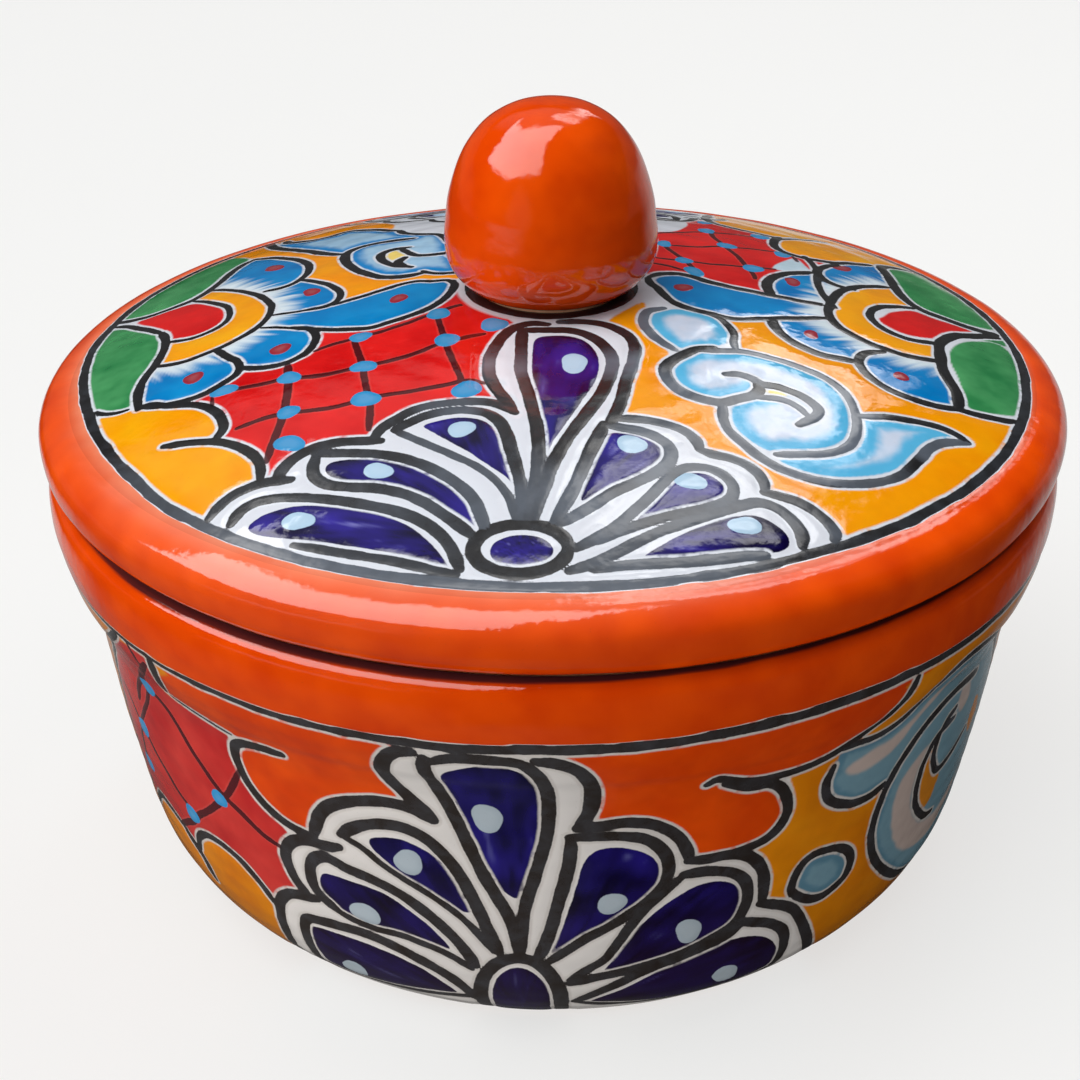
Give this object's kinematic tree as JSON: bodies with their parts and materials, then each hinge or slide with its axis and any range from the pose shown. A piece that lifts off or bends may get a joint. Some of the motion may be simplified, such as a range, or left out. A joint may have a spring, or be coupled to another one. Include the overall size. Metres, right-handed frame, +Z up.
{
  "type": "tortilla warmer",
  "caption": "Round glazed earthenware covered dish for warm flat breads: deep bowl with a rolled collar and a loose domed lid lifted by a hollow ball knob.",
  "frame": {"origin": "centre of the foot ring, on the table", "axes": "+Z up along the axis that the bowl, lid and knob are turned about; -Y towards the viewer, where a fan flower is painted"},
  "size_m": [0.25, 0.25, 0.1895],
  "materials": {
    "clay": "matt, unglazed",
    "slip": "matt, unglazed",
    "bowl_ornament": "gloss, hand painted",
    "lid_ornament": "gloss, hand painted",
    "orange_glaze": "gloss",
    "liner_glaze": "gloss"
  },
  "bodies": {
    "bowl": {"bowl_body": "clay", "bowl_painted_glaze": "bowl_ornament", "bowl_rim_glaze": "orange_glaze", "bowl_liner_glaze": "liner_glaze"},
    "lid": {"lid_body": "clay", "lid_painted_glaze": "lid_ornament", "lid_rim_glaze": "orange_glaze", "lid_liner_glaze": "liner_glaze", "knob_body": "clay", "knob_glaze": "orange_glaze", "knob_slip_ring": "slip"}
  },
  "joints": [
    {"name": "lid_lift", "type": "slide", "parent": "bowl", "child": "lid", "axis": [0, 0, 1], "range_m": [0, 0.15]}
  ]
}
